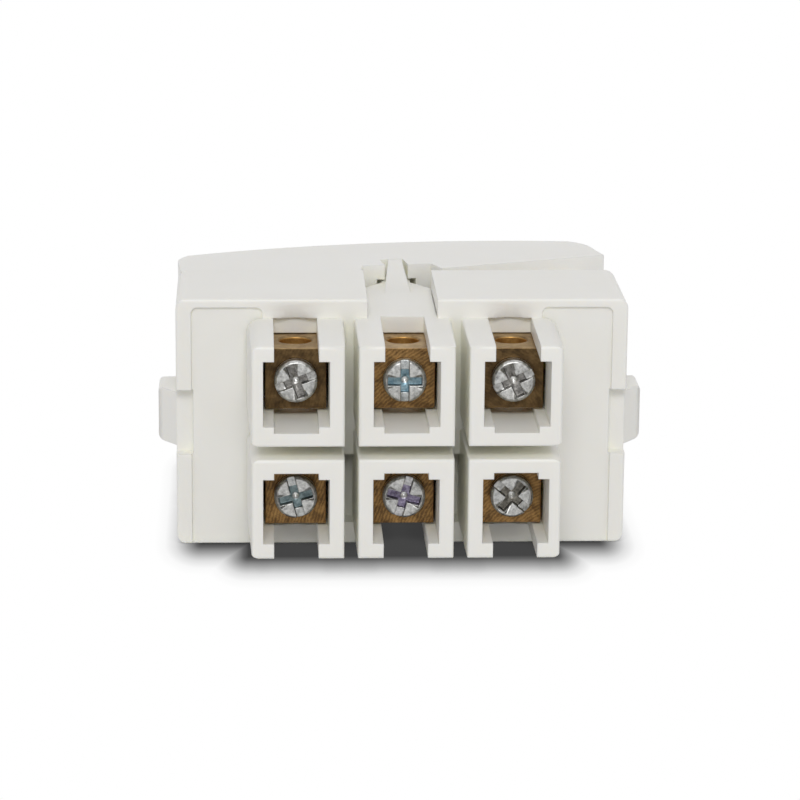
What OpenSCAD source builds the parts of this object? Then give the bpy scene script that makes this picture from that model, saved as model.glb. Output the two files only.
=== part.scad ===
// Two-pole change-over rocker switch module with six screw terminals.
// It stands on one long side: X runs along the module, Y from the terminals to the rocker, Z up.
// Inside the modules Y = 0 is the back face of the housing and Z = 0 its lower long side.

/* [Housing] */
// Length of the housing between its two ends
body_l = 42.6; // [41:0.1:46]
// Width of the housing across its two long sides
body_w = 23.9; // [23.4:0.1:26]
// Depth of the housing from its back face to its front rim
body_d = 12.4; // [11.6:0.1:14]
// Thickness of the two long side walls
side_wall = 1.7; // [1.2:0.1:1.8]
// Thickness of the two end walls
end_wall = 1.1; // [0.8:0.1:1.3]
// Wall behind the pocket beside each ear
ear_back = 0.6; // [0.4:0.1:1]
// Thickness of the back wall
back_wall = 1.2; // [1:0.1:1.6]
// Radius of the four long corners of the housing
corner_r = 1; // [0.4:0.1:1.6]
// Radius of the edges round the back face
back_edge_r = 0.25; // [0.2:0.05:0.8]
// Radius of the housing's four corners at its front rim
rim_r = 0.9; // [0.4:0.1:1]
// Thickness of the barrier between the two poles
barrier_t = 1.2; // [0.8:0.1:1.6]
// Length of the barrier
barrier_l = 28; // [20:1:32]
// Height of the barrier above the inside of the back wall
barrier_h = 6.4; // [5:0.1:7.5]
// How far the recessed marking fields run in behind the outer towers
field_under = 1.5; // [0.5:0.05:1.6]
// Margin between the marking fields and the ends of the housing
field_margin = 1.45; // [1:0.05:2.5]
// Height of the upper edge of the marking fields below the upper side
field_drop = 0.8; // [0.5:0.1:2]
// Radius of the corners of the marking fields
field_r = 0.6; // [0.3:0.05:1]
// Depth of the marking fields
field_t = 0.3; // [0.1:0.05:0.5]
// Width of the blind vents between the lower towers
vent_w = 1; // [0.6:0.05:1.1]
// Height of the vents between the lower towers
vent_h = 6.7; // [4:0.1:7]
// Height of the lower end of the vents
vent_z = 2.1; // [1.9:0.1:3]
// Depth of the vents
vent_t = 2.4; // [1.6:0.1:2.6]
// Wall round the vents
vent_skin = 0.35; // [0.3:0.05:0.4]

/* [Snap ears] */
// Height of each ear
ear_h = 5.2; // [4:0.1:7]
// How far each ear stands out from the end wall
ear_out = 1.75; // [0.8:0.05:2.2]
// Where the ear's ramp starts, from the back face
ear_y = 1.5; // [1.2:0.1:3]
// Length of the ear's ramp
ear_ramp = 2.4; // [1.5:0.1:3]
// Length of the ear's flat top
ear_flat = 3.6; // [3:0.1:5]
// Radius of the ear's outer corners
ear_r = 0.5; // [0.2:0.05:0.7]
// Width of the pocket in the back face beside each ear
ear_pocket_w = 1.6; // [0.8:0.05:1.8]
// Height of the pocket in the back face beside each ear
ear_pocket_h = 6.3; // [5:0.1:8]

/* [Bearing tongues] */
// Width of the notch in the middle of each long side
notch_w = 6.6; // [5.6:0.1:7.4]
// Depth of the notch in the middle of each long side
notch_t = 1.85; // [1.7:0.05:2.1]
// Thickness of the bearing tongue in each notch
tongue_t = 1.7; // [1.5:0.05:1.9]
// Width of the finger at the tongue's end, which carries the rocker's axis
finger_w = 2.8; // [2.6:0.1:3.2]
// Length of the finger
finger_l = 2.65; // [2.4:0.05:3]
// Length of the tongue's sloped shoulders
tongue_slope = 2.6; // [2.4:0.1:3.4]
// How far the tongue reaches past the rocker's axis
tongue_past = 1.5; // [1.3:0.05:1.7]
// Width of the ramp on the tongue at its low end
ramp_w = 2.6; // [1.6:0.1:3]
// Width of the ramp on the tongue at its high end
ramp_tip_w = 1.3; // [0.8:0.1:1.6]
// Length of the ramp
ramp_l = 7.3; // [6:0.1:8]
// Height of the ramp
ramp_h = 1.75; // [0.8:0.05:1.8]

/* [Terminal towers] */
// Distance between neighbouring terminals
tower_pitch = 10.1; // [10:0.05:10.8]
// Width of each tower at its root
tower_w = 9.15; // [8.8:0.05:9.3]
// How much each side of a tower leans in at its free end
tower_draft = 0.16; // [0.05:0.01:0.2]
// How much the outermost sides lean in at the free end
outer_draft = 0.45; // [0.1:0.05:0.5]
// Distance of the towers from the housing's long sides
tower_inset = 1.85; // [1.4:0.05:2.2]
// How far the towers stand out behind the back face
tower_d = 11; // [10:0.1:13]
// Gap between the upper and the lower row
row_gap = 1.2; // [0.8:0.1:1.6]
// Radius of the towers' outermost corners
tower_r = 1.4; // [0.6:0.1:1.6]
// Radius of the towers' other corners
tower_small_r = 0.4; // [0.2:0.05:0.6]
// Radius of the edges round the towers' free ends
tower_edge_r = 0.3; // [0.15:0.05:0.4]
// Wall between a pocket and the wire side of its tower
shoulder_t = 1.45; // [1:0.05:1.6]
// Wall between a pocket and the other row
floor_t = 1.9; // [1.4:0.05:2]
// Width of the pocket in each tower
pocket_w = 6.1; // [5.9:0.05:6.4]
// Width of the slot that lets the wire in
slot_w = 4.1; // [3.6:0.05:4.6]
// Width of the relief in the pocket's floor
relief_w = 4.1; // [2.6:0.1:4.6]
// Depth of the relief in the pocket's floor
relief_t = 0.6; // [0.2:0.05:0.8]
// Wall between the relief's inner end and the back face
relief_end = 1; // [0.6:0.1:2]
// Depth of the wire slot in the back face
slot_in = 0.7; // [0.6:0.05:0.8]
// Radius of the wire scoop in the back face
scoop_r = 3.5; // [3:0.1:5]
// Depth of the wire scoop where it meets the tower
scoop_t = 0.3; // [0.2:0.05:0.6]
// Gap between the scoop's shallow end and the housing's long side
scoop_gap = 0.5; // [0.4:0.05:0.8]

/* [Terminal blocks] */
// Gap beside each brass block in its pocket
block_side_gap = 0.2; // [0.15:0.05:0.4]
// Gap above and below each brass block in its pocket
block_end_gap = 0.2; // [0.15:0.05:0.4]
// How far the block's outer face is from the back face of the housing
block_front = 5; // [4.6:0.1:5.6]
// Metal between the block's outer face and the wire hole
block_skin = 2; // [1.4:0.05:2.4]
// Radius of the wire hole
wire_r = 1.5; // [1.3:0.05:1.6]
// Width of the bevel round the wire hole's mouth
wire_bevel = 0.2; // [0.1:0.05:0.4]
// Clearance round the block in the back wall
block_clear = 0.1; // [0.05:0.01:0.15]

/* [Terminal screws] */
// Radius of the screw's head
head_r = 2; // [1.8:0.05:2.2]
// Height of the screw's head
head_h = 1.15; // [1:0.05:1.6]
// Width of the bevel round the head's outer edge
head_bevel = 0.2; // [0.1:0.05:0.4]
// Radius of the screw's shank
shank_r = 1.25; // [1:0.05:1.3]
// Length of the screw's shank below the head
shank_l = 2.05; // [1.9:0.05:2.6]
// Gap from the screw's tip to the wire hole
tip_gap = 0.1; // [0.05:0.05:0.3]
// Running clearance round the shank
shank_clear = 0.05; // [0.02:0.01:0.1]
// Width of the slot and of the arms of the cross
drive_w = 0.8; // [0.5:0.05:0.9]
// Length of the arms of the cross beside the slot, from end to end
cross_l = 3.2; // [2.4:0.1:3.4]
// Length of the arms of the cross in the slot, from end to end
cross_slot_l = 2.2; // [1.6:0.1:2.8]
// Depth of the slot across the head
slot_t = 0.4; // [0.2:0.05:0.6]
// Depth of the cross
cross_t = 0.8; // [0.5:0.05:0.9]
// Depth of the cone at the middle of the cross
cone_t = 0.3; // [0.1:0.05:0.5]

/* [Rocker] */
// How far the rocker's axis is in front of the housing's rim
pivot_out = 3.95; // [3.6:0.05:4.2]
// Tilt of the rocker at each end of its throw
tilt = 9.8; // [8:0.1:10]
// How far the rocker's ends stay inside the housing's ends
rocker_end_inset = 0; // [0:0.05:0.6]
// Lean of the rocker's end faces
rocker_end_lean = 4.5; // [2:0.5:10]
// How far the rocker's long sides stay inside the housing's long sides
rocker_inset = 0.2; // [0.1:0.05:0.4]
// Height of the rocker's crown above its axis
crown_h = 10.05; // [9.4:0.05:11.5]
// Radius of the rocker's curved face
face_r = 77; // [65:1:95]
// Radius of the rocker's rounded ends
rocker_end_r = 4.3; // [2.4:0.1:4.8]
// Radius of the long edges of the rocker's face
rocker_edge_r = 0.5; // [0.2:0.05:0.8]
// Thickness of the rocker's face
face_t = 1.8; // [1.4:0.1:2.2]
// Thickness of the rocker's rim
rim_t = 2.2; // [2.05:0.05:2.4]
// Gap between the rocker's rim and the housing when pressed
rim_gap = 0.35; // [0.25:0.05:0.6]
// Clearance between the skirt and the housing's end walls
skirt_end_clear = 1.05; // [0.95:0.05:1.4]
// Thickness of the skirt
skirt_t = 1.2; // [0.9:0.1:1.4]
// Clearance between the skirt and the housing's long walls
skirt_clear = 0.3; // [0.2:0.05:0.4]
// How far the skirt reaches below the rocker's axis
skirt_drop = 6.6; // [6:0.1:6.8]
// Gap between the tip of a bearing tongue and the rocker
tongue_gap = 0.5; // [0.4:0.05:0.8]
// Gap beside a bearing tongue at the top of the notch in the rocker's rim
notch_gap = 0.15; // [0.1:0.05:0.5]
// How far below the rocker's axis the notch in its rim ends
notch_drop = 0.55; // [0.4:0.05:0.6]
// Gap beside a bearing tongue at the lower edge of the rocker's rim
tongue_rim_gap = 0.9; // [0.85:0.05:1.1]
// Gap beside a bearing tongue at the lower edge of the rocker's skirt
tongue_skirt_gap = 1.4; // [1.35:0.05:1.6]
// Gap beside a bearing tongue's finger in the rocker
finger_gap = 0.55; // [0.5:0.05:0.7]
// Gap beside the high end of a tongue's ramp in the rocker's rim
ramp_gap = 0.5; // [0.4:0.05:0.7]
// Gap between a tongue's finger and the part of the rocker's rim that covers it
cover_gap = 0.2; // [0.15:0.05:0.3]
// Thickness of the cheeks that carry the stubs
cheek_t = 1.2; // [1:0.1:1.5]
// Width of the cheeks
cheek_w = 5.2; // [4.4:0.1:6]
// Gap between a cheek and its bearing tongue
cheek_gap = 0.15; // [0.1:0.05:0.25]
// Radius of the stubs
stub_r = 0.7; // [0.5:0.05:0.8]
// Length of the stubs inside the bearing
stub_l = 1.2; // [0.9:0.05:1.25]
// Running clearance round the stubs
stub_clear = 0.05; // [0.02:0.01:0.1]

/* [Plungers and springs] */
// Radius of the plunger
plunger_r = 1.2; // [1:0.05:1.3]
// Radius of the plunger's round tip
tip_r = 1; // [0.8:0.05:1]
// Length of the plunger between its tip's centre and its shoulder
plunger_l = 5.6; // [4.8:0.1:6]
// Gap between the plunger's spigot and the spring
spigot_gap = 0.225; // [0.1:0.025:0.3]
// Length of the plunger's spigot
spigot_l = 1; // [0.6:0.1:1.4]
// Running clearance round the plunger
plunger_clear = 0.05; // [0.02:0.01:0.1]
// Outer radius of the tubes under the rocker
tube_r = 2.1; // [1.9:0.05:2.3]
// How far the tubes reach below the rocker's axis
tube_drop = 7.3; // [6.8:0.1:7.6]
// Gap left between the plunger's tip and the bar at mid throw
tip_clear = 0.05; // [0.03:0.01:0.1]
// Length of the spring
spring_l = 6.2; // [5:0.1:7]
// Gap between the spring and its tube
coil_gap = 0.225; // [0.1:0.025:0.3]
// Diameter of the spring's wire
spring_wire = 0.25; // [0.18:0.01:0.28]
// Turns of the spring
coil_turns = 8; // [5:1:8]

/* [Contacts] */
// Thickness of the brass strips
strip_t = 0.8; // [0.6:0.05:1]
// Height of the fixed strips
strip_h = 4.8; // [4:0.1:5.6]
// Reach of the fixed strips past their contact, towards the middle
strip_past = 1.4; // [1.3:0.05:1.6]
// Height of the lip at the fixed strips' outer ends
lip_h = 3; // [1.5:0.1:4]
// Distance from the bar's middle to its contacts
arm_l = 7.5; // [7.2:0.1:7.9]
// Reach of the bar past its contacts
arm_past = 1.3; // [1.3:0.1:1.6]
// Thickness of the bar
bar_t = 0.8; // [0.6:0.05:1]
// Tilt of the bar at each end of its throw
bar_tilt = 11; // [9:0.5:12]
// Radius of the contact rivets' heads
contact_r = 1.25; // [1:0.05:1.3]
// Height of the contact rivets' heads
contact_h = 0.7; // [0.6:0.05:0.9]
// Radius of the contact rivets' domes
dome_r = 2.5; // [2.2:0.1:3.5]
// Radius of the rivets' shanks
rivet_r = 0.7; // [0.5:0.05:0.8]
// Clearance round the rivets' shanks
rivet_clear = 0.02; // [0.01:0.01:0.05]
// Gap between closed contacts
contact_gap = 0.05; // [0.03:0.01:0.1]
// Radius of the bar's trunnions
trunnion_r = 0.6; // [0.5:0.05:0.7]
// Length of each trunnion's root on the bar
trunnion_root = 0.3; // [0.1:0.05:0.5]
// Running clearance round the trunnions
trunnion_clear = 0.05; // [0.02:0.01:0.1]
// Thickness of the saddle's ears
saddle_ear_t = 0.8; // [0.6:0.05:1]
// Gap between the bar and the saddle's ears
saddle_gap = 0.2; // [0.1:0.05:0.3]
// Width of the saddle's ears
saddle_ear_w = 3; // [2.4:0.1:3.4]
// Width of the saddle's base
saddle_w = 5; // [4.2:0.1:5.4]
// Gap between the saddle and the bearing tongue
saddle_clear = 0.375; // [0.2:0.025:0.5]

/* [Hidden] */
COLUMNS = ["left", "centre", "right"];
ROWS = ["lower", "upper"];
$fn = 48;
eps = 0.01;
// How far a cut reaches past the face it opens
over = 1;
least_end_r = 0.4;
white = "#E8E7E3";
brass = "#A27F42";
zinc = "#C9CBCD";
silver = "#DCDCDA";
black_steel = "#5A5C5E";
arc_steps = 8;
edge_steps = 3;
face_steps = 24;
revolve_steps = 360;
coil_rings = 12;
wire_sides = 6;
// Angle of each screw's long slot, in the order of the rows and columns
slot_angles = [[105, 74, -40], [-20, 90, -25]];

mid_z = body_w / 2;
tower_h = (body_w - row_gap) / 2 - tower_inset;
row_off = (tower_h + row_gap) / 2;
pocket_h = tower_h - shoulder_t - floor_t;
pocket_z = (floor_t - shoulder_t) / 2;
block_w = pocket_w - 2 * block_side_gap;
block_h = pocket_h - 2 * block_end_gap;
field_in = tower_pitch + tower_w / 2 - field_under;
field_out = body_l / 2 - field_margin;
wire_y = -block_front + block_skin + wire_r;
head_y = -block_front + block_skin - tip_gap - shank_l;
pivot_y = body_d + pivot_out;
tongue_z = body_w - notch_t;
tongue_end = pivot_y + tongue_past;
shoulder_end = tongue_past - finger_l;
rocker_l = body_l - 2 * rocker_end_inset;
rocker_w = body_w - 2 * rocker_inset;
skirt_l = body_l - 2 * (end_wall + skirt_end_clear);
face_v = crown_h - face_r;
low_v = body_d + rim_gap - pivot_y;
low_end_v = low_v + rocker_l / 2 * tan(tilt);
strip_y = back_wall + strip_t;
closed_y = strip_y + contact_h;
// The dome of a tilted rivet is lowest straight below its centre
bar_y = closed_y + contact_gap + dome_r + arm_l * sin(bar_tilt)
        - (dome_r - contact_h - bar_t / 2) * cos(bar_tilt);
fixed_x = arm_l * cos(bar_tilt) + (dome_r - contact_h - bar_t / 2) * sin(bar_tilt);
tip_v = pivot_y - bar_y - bar_t / 2 - tip_r - tip_clear;
shoulder_v = plunger_l - tip_v;
coil_r = plunger_r + plunger_clear - coil_gap - spring_wire / 2;
spigot_r = coil_r - spring_wire / 2 - spigot_gap;
// The saddle fills the height between the pole's middle and the bearing tongue
saddle_half = tongue_z - tongue_t - saddle_clear - mid_z - row_off;
bar_w = 2 * (saddle_half - saddle_ear_t - saddle_gap);
spring_gap = spring_l / coil_turns - spring_wire;

// The frame's origin is under the middle of the whole object, with the rocker at rest
rocker_reach = pivot_y + face_v * cos(tilt) + face_r;
mid_y = (rocker_reach - tower_d) / 2;

function row_sign(r) = r == "upper" ? 1 : -1;
function side_sign(s) = s == "right" ? 1 : -1;
function arc(c, r, from, to, steps) =
  [for (i = [0 : steps]) c + r * [cos(from + (to - from) * i / steps), sin(from + (to - from) * i / steps)]];

// Outline of a rectangle, with one corner radius to the left and one to the right
function rounded(w, h, left_r, right_r) = concat(
  arc([w / 2 - right_r, -h / 2 + right_r], right_r, -90, 0, arc_steps),
  arc([w / 2 - right_r, h / 2 - right_r], right_r, 0, 90, arc_steps),
  arc([-w / 2 + left_r, h / 2 - left_r], left_r, 90, 180, arc_steps),
  arc([-w / 2 + left_r, -h / 2 + left_r], left_r, 180, 270, arc_steps));

// Outline of a rectangle of width w from a depth of 0 to d. Its corners at depth 0 have radius r,
// its sides lean in there by left and right, and its far corners have radius far_r, or none.
function soft_end(w, d, r, far_r, left, right) = concat(
  far_r > 0 ? arc([w / 2 - far_r, d - far_r], far_r, 0, 90, edge_steps) : [[w / 2, d]],
  far_r > 0 ? arc([-w / 2 + far_r, d - far_r], far_r, 90, 180, edge_steps) : [[-w / 2, d]],
  arc([-w / 2 + left + r, r], r, 180, 270, edge_steps),
  arc([w / 2 - right - r, r], r, 270, 360, edge_steps));

// Outline of the rocker seen from above, about its axis, moved in all round by inset.
// Each end is a leaning line, and an arc joins it to the curved face without a kink.
function end_r(inset) = max(rocker_end_r - inset, least_end_r);
function end_centre(inset) =
  let (out = [cos(rocker_end_lean), sin(rocker_end_lean)],
       along = [-sin(rocker_end_lean), cos(rocker_end_lean)],
       face = [0, face_v - low_end_v],
       reach = rocker_l / 2 * cos(rocker_end_lean) - inset - end_r(inset),
       rise = face * along + sqrt(pow(face_r - inset - end_r(inset), 2) - pow(reach - face * out, 2)))
    [0, low_end_v] + reach * out + rise * along;
function end_turn(inset) = atan2(end_centre(inset)[1] - face_v, end_centre(inset)[0]);
function end_u(inset, v) =
  rocker_l / 2 - inset / cos(rocker_end_lean) - (v - low_end_v) * tan(rocker_end_lean);
function rocker_outline(inset, middle_v, corner_v) = concat(
  [[0, middle_v], [end_u(inset, corner_v), corner_v]],
  arc(end_centre(inset), end_r(inset), rocker_end_lean, end_turn(inset), arc_steps),
  arc([0, face_v], face_r - inset, end_turn(inset), 180 - end_turn(inset), face_steps),
  arc([-end_centre(inset)[0], end_centre(inset)[1]], end_r(inset),
      180 - end_turn(inset), 180 - rocker_end_lean, arc_steps),
  [[-end_u(inset, corner_v), corner_v]]);

module in_frame() {
  translate([0, -mid_y, 0]) children();
}

// Extrudes an outline drawn in X and Z from one depth to another
module along_y(from, to) {
  translate([0, to, 0]) rotate([90, 0, 0]) linear_extrude(to - from) children();
}

// A block from Y = 0 to d, with an outline in X and Z and soft edges at its start
module soft_block(outline, w, d, h, r, far_r, left, right) {
  intersection() {
    along_y(0, d) polygon(outline);
    translate([0, 0, -h / 2 - over])
      linear_extrude(h + 2 * over)
        polygon(soft_end(w, far_r > 0 ? d : d + over, r, far_r, left, right));
    translate([-w / 2 - over, 0, 0])
      rotate([90, 0, 90])
        linear_extrude(w + 2 * over)
          polygon([for (p = soft_end(h, d + over, r, 0, 0, 0)) [p[1], p[0]]]);
  }
}

module rod_y(r, from, to) {
  translate([0, to, 0]) rotate([90, 0, 0]) cylinder(r = r, h = to - from);
}

module both_sides() {
  children();
  translate([0, 0, body_w]) mirror([0, 0, 1]) children();
}

module both_ends() {
  children();
  mirror([1, 0, 0]) children();
}

// Puts a shape at one terminal, with the shape's +Z pointing to the wire side
module at_terminal(column, row) {
  translate([column * tower_pitch, 0, mid_z + row * row_off]) mirror([0, 0, row > 0 ? 0 : 1]) children();
}

module each_terminal() {
  for (row = [-1, 1])
    for (column = [-1 : 1])
      at_terminal(column, row) children();
}

module on_rocker() {
  translate([0, pivot_y, 0]) rotate([0, 0, tilt]) children();
}

module on_bar(row) {
  translate([0, bar_y, mid_z + row * row_off]) rotate([0, 0, -bar_tilt]) children();
}

module towers() {
  for (row = [-1, 1])
    for (column = [-1 : 1])
      at_terminal(column, row)
        translate([0, -tower_d, 0])
          soft_block(rounded(tower_w, tower_h, column < 0 ? tower_r : tower_small_r,
                             column > 0 ? tower_r : tower_small_r),
                     tower_w, tower_d + eps, tower_h, tower_edge_r, 0,
                     column < 0 ? outer_draft : tower_draft, column > 0 ? outer_draft : tower_draft);
}

module terminal_cuts() {
  each_terminal() {
    translate([-pocket_w / 2, -tower_d - over, pocket_z - pocket_h / 2])
      cube([pocket_w, tower_d + over, pocket_h]);
    translate([-slot_w / 2, -tower_d - over, 0])
      cube([slot_w, tower_d + over + slot_in, tower_h / 2 + eps]);
    translate([-relief_w / 2, -tower_d - over, pocket_z - pocket_h / 2 - relief_t])
      cube([relief_w, tower_d + over - relief_end, relief_t + eps]);
    translate([-block_w / 2 - block_clear, -eps, pocket_z - block_h / 2 - block_clear])
      cube([block_w + 2 * block_clear, back_wall + 2 * eps, block_h + 2 * block_clear]);
  }
  for (row = [-1, 1])
    for (column = [-1, 1])
      at_terminal(column, row) wire_scoop();
}

// A shallow scoop in the back face, which fades out before it reaches the long side
module wire_scoop() {
  fade = atan(scoop_t / (tower_inset - scoop_gap));
  translate([0, 0, tower_h / 2])
    intersection() {
      translate([0, scoop_t - scoop_r / cos(fade), 0])
        rotate([fade, 0, 0])
          cylinder(r = scoop_r, h = 4 * tower_inset, center = true);
      translate([-scoop_r, -eps, 0])
        cube([2 * scoop_r, 2 * scoop_t, tower_inset]);
    }
}

module ears() {
  ear_end = ear_y + ear_ramp + ear_flat;
  both_ends()
    intersection() {
      translate([0, 0, mid_z - ear_h / 2])
        linear_extrude(ear_h)
          polygon([[body_l / 2 - eps, ear_y],
                   [body_l / 2 + ear_out, ear_y + ear_ramp],
                   [body_l / 2 + ear_out, ear_end],
                   [body_l / 2 - eps, ear_end]]);
      translate([body_l / 2, 0, mid_z])
        along_y(ear_y - over, ear_end + over)
          polygon(rounded(2 * ear_out, ear_h, ear_r, ear_r));
    }
}

module tongues() {
  both_sides() {
    translate([0, pivot_y, tongue_z - tongue_t])
      linear_extrude(tongue_t)
        polygon([[-notch_w / 2, -pivot_y],
                 [notch_w / 2, -pivot_y],
                 [notch_w / 2, shoulder_end - tongue_slope],
                 [finger_w / 2, shoulder_end],
                 [finger_w / 2, tongue_past],
                 [-finger_w / 2, tongue_past],
                 [-finger_w / 2, shoulder_end],
                 [-notch_w / 2, shoulder_end - tongue_slope]]);
    intersection() {
      translate([-ramp_w / 2, 0, 0])
        rotate([90, 0, 90])
          linear_extrude(ramp_w)
            polygon([[tongue_end - ramp_l, tongue_z - eps],
                     [tongue_end, tongue_z - eps],
                     [tongue_end, tongue_z + ramp_h]]);
      translate([0, 0, tongue_z - 2 * eps])
        linear_extrude(ramp_h + 4 * eps)
          polygon([[-ramp_w / 2, tongue_end - ramp_l],
                   [ramp_w / 2, tongue_end - ramp_l],
                   [ramp_tip_w / 2, tongue_end],
                   [-ramp_tip_w / 2, tongue_end]]);
    }
  }
}

// Walls inside the housing, round the blind pockets in its back face
module pocket_walls() {
  both_ends() {
    translate([body_l / 2 - ear_pocket_w - ear_back, back_wall - eps, mid_z - ear_pocket_h / 2 - ear_back])
      cube([ear_pocket_w + ear_back - end_wall + eps, ear_y + ear_back - back_wall + eps,
            ear_pocket_h + 2 * ear_back]);
    translate([tower_pitch / 2 - vent_w / 2 - vent_skin, back_wall - eps, side_wall - eps])
      cube([vent_w + 2 * vent_skin, vent_t + vent_skin - back_wall + eps,
            vent_z + vent_h + vent_skin - side_wall + eps]);
  }
}

module back_pockets() {
  both_ends() {
    translate([(field_in + field_out) / 2, 0, (body_w - field_drop) / 2 - field_r])
      along_y(-eps, field_t)
        polygon(rounded(field_out - field_in, body_w - field_drop + 2 * field_r, field_r, field_r));
    translate([body_l / 2 - ear_pocket_w, -eps, mid_z - ear_pocket_h / 2])
      cube([ear_pocket_w + over, ear_y + eps, ear_pocket_h]);
  }
}

module vents() {
  both_ends()
    translate([tower_pitch / 2 - vent_w / 2, -eps, vent_z])
      cube([vent_w, vent_t + eps, vent_h]);
}

module shell() {
  difference() {
    union() {
      difference() {
        translate([0, 0, mid_z])
          soft_block(rounded(body_l, body_w, corner_r, corner_r), body_l, body_d, body_w,
                     back_edge_r, rim_r, 0, 0);
        translate([-body_l / 2 + end_wall, back_wall, side_wall])
          cube([body_l - 2 * end_wall, body_d, body_w - 2 * side_wall]);
      }
      pocket_walls();
    }
    both_sides()
      translate([-notch_w / 2, -eps, body_w - notch_t])
        cube([notch_w, body_d + over, notch_t + over]);
    back_pockets();
  }
}

module housing() {
  color(white)
    in_frame()
      difference() {
        union() {
          shell();
          towers();
          ears();
          tongues();
          translate([-barrier_l / 2, back_wall - eps, mid_z - barrier_t / 2])
            cube([barrier_l, barrier_h + eps, barrier_t]);
        }
        terminal_cuts();
        vents();
        both_sides()
          translate([0, pivot_y, tongue_z - tongue_t - eps])
            cylinder(r = stub_r + stub_clear, h = stub_l + cheek_gap + eps);
      }
}

// A disc about the axis of the rocker's curved face, with round edges
module face_disc() {
  round_r = face_r + 2 * eps - rocker_edge_r;
  translate([0, face_v, rocker_inset - eps])
    rotate_extrude($fn = revolve_steps)
      polygon(concat(
        [[0, 0]],
        arc([round_r, rocker_edge_r], rocker_edge_r, -90, 0, edge_steps),
        arc([round_r, rocker_w + 2 * eps - rocker_edge_r], rocker_edge_r, 0, 90, edge_steps),
        [[0, rocker_w + 2 * eps]]));
}

module rocker_cap() {
  difference() {
    intersection() {
      translate([0, 0, rocker_inset])
        linear_extrude(rocker_w)
          polygon(rocker_outline(0, low_v, low_end_v));
      face_disc();
    }
    translate([0, 0, rocker_inset + rim_t])
      linear_extrude(rocker_w - 2 * rim_t)
        polygon(rocker_outline(face_t, low_v - over, low_v - over));
  }
}

module rocker_skirt() {
  skirt_z = side_wall + skirt_clear;
  skirt_w = body_w - 2 * skirt_z;
  skirt_h = skirt_drop + end_centre(0)[1];
  difference() {
    translate([-skirt_l / 2, -skirt_drop, skirt_z])
      cube([skirt_l, skirt_h, skirt_w]);
    translate([-skirt_l / 2 + skirt_t, -skirt_drop - over, skirt_z + skirt_t])
      cube([skirt_l - 2 * skirt_t, skirt_h + 2 * over, skirt_w - 2 * skirt_t]);
  }
}

// One half of the notch round a bearing tongue, with half the width of its narrow end
function tongue_notch(side, narrow) =
  let (half = [
    [side * (notch_w / 2 + tongue_skirt_gap), -skirt_drop - over],
    [side * (notch_w / 2 + tongue_skirt_gap), low_v],
    [side * (notch_w / 2 + tongue_rim_gap), low_v],
    [side * (notch_w / 2 + notch_gap), -notch_drop],
    [side * narrow, -notch_drop],
    [side * narrow, tongue_past + tongue_gap]])
    side > 0 ? half : [for (k = [len(half) - 1 : -1 : 0]) half[k]];

module rocker() {
  cheek_z = tongue_z - tongue_t - cheek_gap;
  inside_v = crown_h - face_t / 2;
  finger_room = finger_w / 2 + finger_gap;
  ramp_room = ramp_tip_w / 2 + ramp_gap;
  color(white)
    in_frame()
      on_rocker()
        difference() {
          union() {
            difference() {
              union() {
                rocker_cap();
                rocker_skirt();
              }
              both_sides()
                translate([0, 0, cheek_z]) {
                  linear_extrude(body_w)
                    polygon(concat(tongue_notch(1, ramp_room), tongue_notch(-1, ramp_room)));
                  linear_extrude(tongue_z + cover_gap - cheek_z)
                    polygon(concat(tongue_notch(1, finger_room), tongue_notch(-1, finger_room)));
                }
            }
            both_sides() {
              translate([-cheek_w / 2, -2 * stub_r, cheek_z - cheek_t])
                cube([cheek_w, inside_v + 2 * stub_r, cheek_t]);
              translate([0, 0, cheek_z - eps])
                cylinder(r = stub_r, h = stub_l + eps);
            }
            for (row = [-1, 1])
              translate([0, 0, mid_z + row * row_off])
                rod_y(tube_r, -tube_drop, inside_v);
          }
          for (row = [-1, 1])
            translate([0, 0, mid_z + row * row_off])
              rod_y(plunger_r + plunger_clear, -tube_drop - eps, shoulder_v + spring_l);
        }
}

module terminal_block(column, row) {
  color(brass)
    in_frame()
      at_terminal(column, row)
        difference() {
          translate([-block_w / 2, -block_front, pocket_z - block_h / 2])
            cube([block_w, block_front + back_wall, block_h]);
          translate([0, wire_y, pocket_z - block_h / 2 - over])
            cylinder(r = wire_r, h = block_h + 2 * over);
          translate([0, wire_y, pocket_z + block_h / 2 - wire_bevel])
            cylinder(r1 = wire_r, r2 = wire_r + wire_bevel + eps, h = wire_bevel + eps);
          translate([0, 0, pocket_z])
            rod_y(shank_r + shank_clear, -block_front - over, wire_y);
        }
}

module terminal_screw(column, row, slot_angle) {
  slot_l = 2 * (head_r + over);
  color(zinc)
    in_frame()
      at_terminal(column, row)
        translate([0, head_y, pocket_z])
          rotate([-90, slot_angle, 0])
            difference() {
              union() {
                cylinder(r = shank_r, h = shank_l);
                translate([0, 0, -head_h + head_bevel]) cylinder(r = head_r, h = head_h - head_bevel);
                translate([0, 0, -head_h]) cylinder(r1 = head_r - head_bevel, r2 = head_r, h = head_bevel);
              }
              translate([-slot_l / 2, -drive_w / 2, -head_h - eps])
                cube([slot_l, drive_w, slot_t + eps]);
              translate([-cross_slot_l / 2, -drive_w / 2, -head_h - eps])
                cube([cross_slot_l, drive_w, cross_t + eps]);
              translate([-drive_w / 2, -cross_l / 2, -head_h - eps])
                cube([drive_w, cross_l, cross_t + eps]);
              translate([0, 0, -head_h + cross_t - eps])
                cylinder(r1 = drive_w / 2, r2 = eps, h = cone_t);
            }
}

module strip_plate(from, to, height) {
  translate([from, back_wall, -height / 2]) cube([to - from, strip_t, height]);
}

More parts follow.
